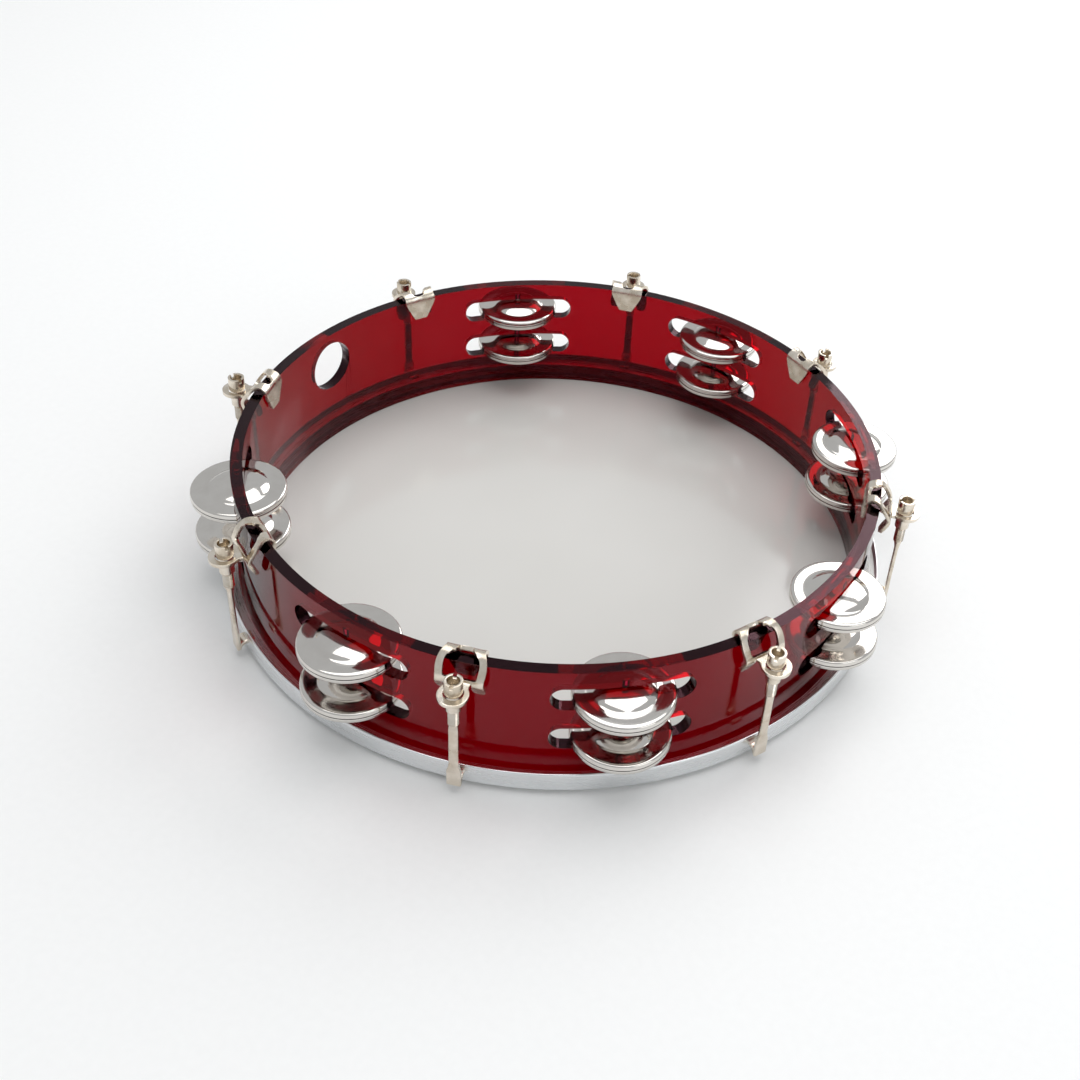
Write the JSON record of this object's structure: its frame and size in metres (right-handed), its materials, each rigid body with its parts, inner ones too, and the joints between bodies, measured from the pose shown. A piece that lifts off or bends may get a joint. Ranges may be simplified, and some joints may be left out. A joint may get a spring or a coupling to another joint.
{
  "type": "tambourine",
  "caption": "Headed tambourine: a clear ruby ring with paired jingles on pins in slots, a finger hole, and a drumhead tuned by hook rods, tube nuts and claws.",
  "frame": {"origin": "centre of the drumhead's outer, playing face, on the ring's axis", "axes": "+Z along the ring's axis, from the drumhead to the open rim; -X out through the finger hole; bays of jingles at multiples of 45 degrees about Z and claws halfway between them"},
  "size_m": [0.2761, 0.2854, 0.0565],
  "materials": {
    "ruby_acrylic": "clear ruby-red cast acrylic tube, machined and flame-polished",
    "milky_film": "milky white polyester drumhead film, glossy",
    "aluminium": "bright rolled aluminium channel, lightly brushed",
    "nickel_plate": "warm nickel plate on stamped and turned steel",
    "jingle_nickel": "mirror-polished nickel-plated steel"
  },
  "bodies": {
    "drum": {"shell": "ruby_acrylic", "head_film": "milky_film", "head_hoop": "aluminium", "claw_1": "nickel_plate", "claw_2": "nickel_plate", "claw_3": "nickel_plate", "claw_4": "nickel_plate", "claw_5": "nickel_plate", "claw_6": "nickel_plate", "claw_7": "nickel_plate", "claw_8": "nickel_plate"},
    "tube_nut_1": {"tube_nut_1": "nickel_plate"},
    "hook_rod_1": {"hook_rod_1": "nickel_plate"},
    "tube_nut_2": {"tube_nut_2": "nickel_plate"},
    "hook_rod_2": {"hook_rod_2": "nickel_plate"},
    "tube_nut_3": {"tube_nut_3": "nickel_plate"},
    "hook_rod_3": {"hook_rod_3": "nickel_plate"},
    "tube_nut_4": {"tube_nut_4": "nickel_plate"},
    "hook_rod_4": {"hook_rod_4": "nickel_plate"},
    "tube_nut_5": {"tube_nut_5": "nickel_plate"},
    "hook_rod_5": {"hook_rod_5": "nickel_plate"},
    "tube_nut_6": {"tube_nut_6": "nickel_plate"},
    "hook_rod_6": {"hook_rod_6": "nickel_plate"},
    "tube_nut_7": {"tube_nut_7": "nickel_plate"},
    "hook_rod_7": {"hook_rod_7": "nickel_plate"},
    "tube_nut_8": {"tube_nut_8": "nickel_plate"},
    "hook_rod_8": {"hook_rod_8": "nickel_plate"},
    "jingle_1_low_lower": {"jingle_1_low_lower": "jingle_nickel"},
    "jingle_1_low_upper": {"jingle_1_low_upper": "jingle_nickel"},
    "jingle_1_high_lower": {"jingle_1_high_lower": "jingle_nickel"},
    "jingle_1_high_upper": {"jingle_1_high_upper": "jingle_nickel"},
    "jingle_2_low_lower": {"jingle_2_low_lower": "jingle_nickel"},
    "jingle_2_low_upper": {"jingle_2_low_upper": "jingle_nickel"},
    "jingle_2_high_lower": {"jingle_2_high_lower": "jingle_nickel"},
    "jingle_2_high_upper": {"jingle_2_high_upper": "jingle_nickel"},
    "jingle_3_low_lower": {"jingle_3_low_lower": "jingle_nickel"},
    "jingle_3_low_upper": {"jingle_3_low_upper": "jingle_nickel"},
    "jingle_3_high_lower": {"jingle_3_high_lower": "jingle_nickel"},
    "jingle_3_high_upper": {"jingle_3_high_upper": "jingle_nickel"},
    "jingle_4_low_lower": {"jingle_4_low_lower": "jingle_nickel"},
    "jingle_4_low_upper": {"jingle_4_low_upper": "jingle_nickel"},
    "jingle_4_high_lower": {"jingle_4_high_lower": "jingle_nickel"},
    "jingle_4_high_upper": {"jingle_4_high_upper": "jingle_nickel"},
    "jingle_6_low_lower": {"jingle_6_low_lower": "jingle_nickel"},
    "jingle_6_low_upper": {"jingle_6_low_upper": "jingle_nickel"},
    "jingle_6_high_lower": {"jingle_6_high_lower": "jingle_nickel"},
    "jingle_6_high_upper": {"jingle_6_high_upper": "jingle_nickel"},
    "jingle_7_low_lower": {"jingle_7_low_lower": "jingle_nickel"},
    "jingle_7_low_upper": {"jingle_7_low_upper": "jingle_nickel"},
    "jingle_7_high_lower": {"jingle_7_high_lower": "jingle_nickel"},
    "jingle_7_high_upper": {"jingle_7_high_upper": "jingle_nickel"},
    "jingle_8_low_lower": {"jingle_8_low_lower": "jingle_nickel"},
    "jingle_8_low_upper": {"jingle_8_low_upper": "jingle_nickel"},
    "jingle_8_high_lower": {"jingle_8_high_lower": "jingle_nickel"},
    "jingle_8_high_upper": {"jingle_8_high_upper": "jingle_nickel"}
  },
  "joints": [
    {"name": "hook_lift_1", "type": "slide", "parent": "drum", "child": "hook_rod_1", "axis": [0, 0, 1], "range_m": [-0.00175, 0]},
    {"name": "nut_turn_1", "type": "hinge", "parent": "drum", "child": "tube_nut_1", "pos_m": [0.12693, 0.05154, 0.0487], "axis": [0, 0, 1], "range_deg": [0, 906]},
    {"name": "hook_lift_2", "type": "slide", "parent": "drum", "child": "hook_rod_2", "axis": [0, 0, 1], "range_m": [-0.00175, 0]},
    {"name": "nut_turn_2", "type": "hinge", "parent": "drum", "child": "tube_nut_2", "pos_m": [0.05287, 0.12639, 0.0487], "axis": [0, 0, 1], "range_deg": [0, 906]},
    {"name": "hook_lift_3", "type": "slide", "parent": "drum", "child": "hook_rod_3", "axis": [0, 0, 1], "range_m": [-0.00175, 0]},
    {"name": "nut_turn_3", "type": "hinge", "parent": "drum", "child": "tube_nut_3", "pos_m": [-0.04976, 0.12764, 0.0487], "axis": [0, 0, 1], "range_deg": [0, 906]},
    {"name": "hook_lift_4", "type": "slide", "parent": "drum", "child": "hook_rod_4", "axis": [0, 0, 1], "range_m": [-0.00175, 0]},
    {"name": "nut_turn_4", "type": "hinge", "parent": "drum", "child": "tube_nut_4", "pos_m": [-0.12629, 0.05309, 0.0487], "axis": [0, 0, 1], "range_deg": [0, 906]},
    {"name": "hook_lift_5", "type": "slide", "parent": "drum", "child": "hook_rod_5", "axis": [0, 0, 1], "range_m": [-0.00175, 0]},
    {"name": "nut_turn_5", "type": "hinge", "parent": "drum", "child": "tube_nut_5", "pos_m": [-0.12816, -0.04843, 0.0487], "axis": [0, 0, 1], "range_deg": [0, 906]},
    {"name": "hook_lift_6", "type": "slide", "parent": "drum", "child": "hook_rod_6", "axis": [0, 0, 1], "range_m": [-0.00175, 0]},
    {"name": "nut_turn_6", "type": "hinge", "parent": "drum", "child": "tube_nut_6", "pos_m": [-0.05747, -0.12437, 0.0487], "axis": [0, 0, 1], "range_deg": [0, 906]},
    {"name": "hook_lift_7", "type": "slide", "parent": "drum", "child": "hook_rod_7", "axis": [0, 0, 1], "range_m": [-0.00175, 0]},
    {"name": "nut_turn_7", "type": "hinge", "parent": "drum", "child": "tube_nut_7", "pos_m": [0.04775, -0.12841, 0.0487], "axis": [0, 0, 1], "range_deg": [0, 906]},
    {"name": "hook_lift_8", "type": "slide", "parent": "drum", "child": "hook_rod_8", "axis": [0, 0, 1], "range_m": [-0.00175, 0]},
    {"name": "nut_turn_8", "type": "hinge", "parent": "drum", "child": "tube_nut_8", "pos_m": [0.1262, -0.05331, 0.0487], "axis": [0, 0, 1], "range_deg": [0, 906]},
    {"name": "rattle_1_low_lower", "type": "slide", "parent": "drum", "child": "jingle_1_low_lower", "axis": [0, 0, 1], "range_m": [0, 0.0003]},
    {"name": "rattle_1_low_upper", "type": "slide", "parent": "jingle_1_low_lower", "child": "jingle_1_low_upper", "axis": [0, 0, 1], "range_m": [0, 0.0004]},
    {"name": "rattle_1_high_lower", "type": "slide", "parent": "drum", "child": "jingle_1_high_lower", "axis": [0, 0, 1], "range_m": [0, 0.0003]},
    {"name": "rattle_1_high_upper", "type": "slide", "parent": "jingle_1_high_lower", "child": "jingle_1_high_upper", "axis": [0, 0, 1], "range_m": [0, 0.0004]},
    {"name": "rattle_2_low_lower", "type": "slide", "parent": "drum", "child": "jingle_2_low_lower", "axis": [0, 0, 1], "range_m": [0, 0.0003]},
    {"name": "rattle_2_low_upper", "type": "slide", "parent": "jingle_2_low_lower", "child": "jingle_2_low_upper", "axis": [0, 0, 1], "range_m": [0, 0.0004]},
    {"name": "rattle_2_high_lower", "type": "slide", "parent": "drum", "child": "jingle_2_high_lower", "axis": [0, 0, 1], "range_m": [0, 0.0003]},
    {"name": "rattle_2_high_upper", "type": "slide", "parent": "jingle_2_high_lower", "child": "jingle_2_high_upper", "axis": [0, 0, 1], "range_m": [0, 0.0004]},
    {"name": "rattle_3_low_lower", "type": "slide", "parent": "drum", "child": "jingle_3_low_lower", "axis": [0, 0, 1], "range_m": [0, 0.0003]},
    {"name": "rattle_3_low_upper", "type": "slide", "parent": "jingle_3_low_lower", "child": "jingle_3_low_upper", "axis": [0, 0, 1], "range_m": [0, 0.0004]},
    {"name": "rattle_3_high_lower", "type": "slide", "parent": "drum", "child": "jingle_3_high_lower", "axis": [0, 0, 1], "range_m": [0, 0.0003]},
    {"name": "rattle_3_high_upper", "type": "slide", "parent": "jingle_3_high_lower", "child": "jingle_3_high_upper", "axis": [0, 0, 1], "range_m": [0, 0.0004]},
    {"name": "rattle_4_low_lower", "type": "slide", "parent": "drum", "child": "jingle_4_low_lower", "axis": [0, 0, 1], "range_m": [0, 0.0003]},
    {"name": "rattle_4_low_upper", "type": "slide", "parent": "jingle_4_low_lower", "child": "jingle_4_low_upper", "axis": [0, 0, 1], "range_m": [0, 0.0004]},
    {"name": "rattle_4_high_lower", "type": "slide", "parent": "drum", "child": "jingle_4_high_lower", "axis": [0, 0, 1], "range_m": [0, 0.0003]},
    {"name": "rattle_4_high_upper", "type": "slide", "parent": "jingle_4_high_lower", "child": "jingle_4_high_upper", "axis": [0, 0, 1], "range_m": [0, 0.0004]},
    {"name": "rattle_6_low_lower", "type": "slide", "parent": "drum", "child": "jingle_6_low_lower", "axis": [0, 0, 1], "range_m": [0, 0.0003]},
    {"name": "rattle_6_low_upper", "type": "slide", "parent": "jingle_6_low_lower", "child": "jingle_6_low_upper", "axis": [0, 0, 1], "range_m": [0, 0.0004]},
    {"name": "rattle_6_high_lower", "type": "slide", "parent": "drum", "child": "jingle_6_high_lower", "axis": [0, 0, 1], "range_m": [0, 0.0003]},
    {"name": "rattle_6_high_upper", "type": "slide", "parent": "jingle_6_high_lower", "child": "jingle_6_high_upper", "axis": [0, 0, 1], "range_m": [0, 0.0004]},
    {"name": "rattle_7_low_lower", "type": "slide", "parent": "drum", "child": "jingle_7_low_lower", "axis": [0, 0, 1], "range_m": [0, 0.0003]},
    {"name": "rattle_7_low_upper", "type": "slide", "parent": "jingle_7_low_lower", "child": "jingle_7_low_upper", "axis": [0, 0, 1], "range_m": [0, 0.0004]},
    {"name": "rattle_7_high_lower", "type": "slide", "parent": "drum", "child": "jingle_7_high_lower", "axis": [0, 0, 1], "range_m": [0, 0.0003]},
    {"name": "rattle_7_high_upper", "type": "slide", "parent": "jingle_7_high_lower", "child": "jingle_7_high_upper", "axis": [0, 0, 1], "range_m": [0, 0.0004]},
    {"name": "rattle_8_low_lower", "type": "slide", "parent": "drum", "child": "jingle_8_low_lower", "axis": [0, 0, 1], "range_m": [0, 0.0003]},
    {"name": "rattle_8_low_upper", "type": "slide", "parent": "jingle_8_low_lower", "child": "jingle_8_low_upper", "axis": [0, 0, 1], "range_m": [0, 0.0004]},
    {"name": "rattle_8_high_lower", "type": "slide", "parent": "drum", "child": "jingle_8_high_lower", "axis": [0, 0, 1], "range_m": [0, 0.0003]},
    {"name": "rattle_8_high_upper", "type": "slide", "parent": "jingle_8_high_lower", "child": "jingle_8_high_upper", "axis": [0, 0, 1], "range_m": [0, 0.0004]}
  ],
  "couplings": [
    {"joint": "nut_turn_1", "follows": "hook_lift_1", "rad_per_m": -8976},
    {"joint": "nut_turn_2", "follows": "hook_lift_2", "rad_per_m": -8976},
    {"joint": "nut_turn_3", "follows": "hook_lift_3", "rad_per_m": -8976},
    {"joint": "nut_turn_4", "follows": "hook_lift_4", "rad_per_m": -8976},
    {"joint": "nut_turn_5", "follows": "hook_lift_5", "rad_per_m": -8976},
    {"joint": "nut_turn_6", "follows": "hook_lift_6", "rad_per_m": -8976},
    {"joint": "nut_turn_7", "follows": "hook_lift_7", "rad_per_m": -8976},
    {"joint": "nut_turn_8", "follows": "hook_lift_8", "rad_per_m": -8976}
  ]
}
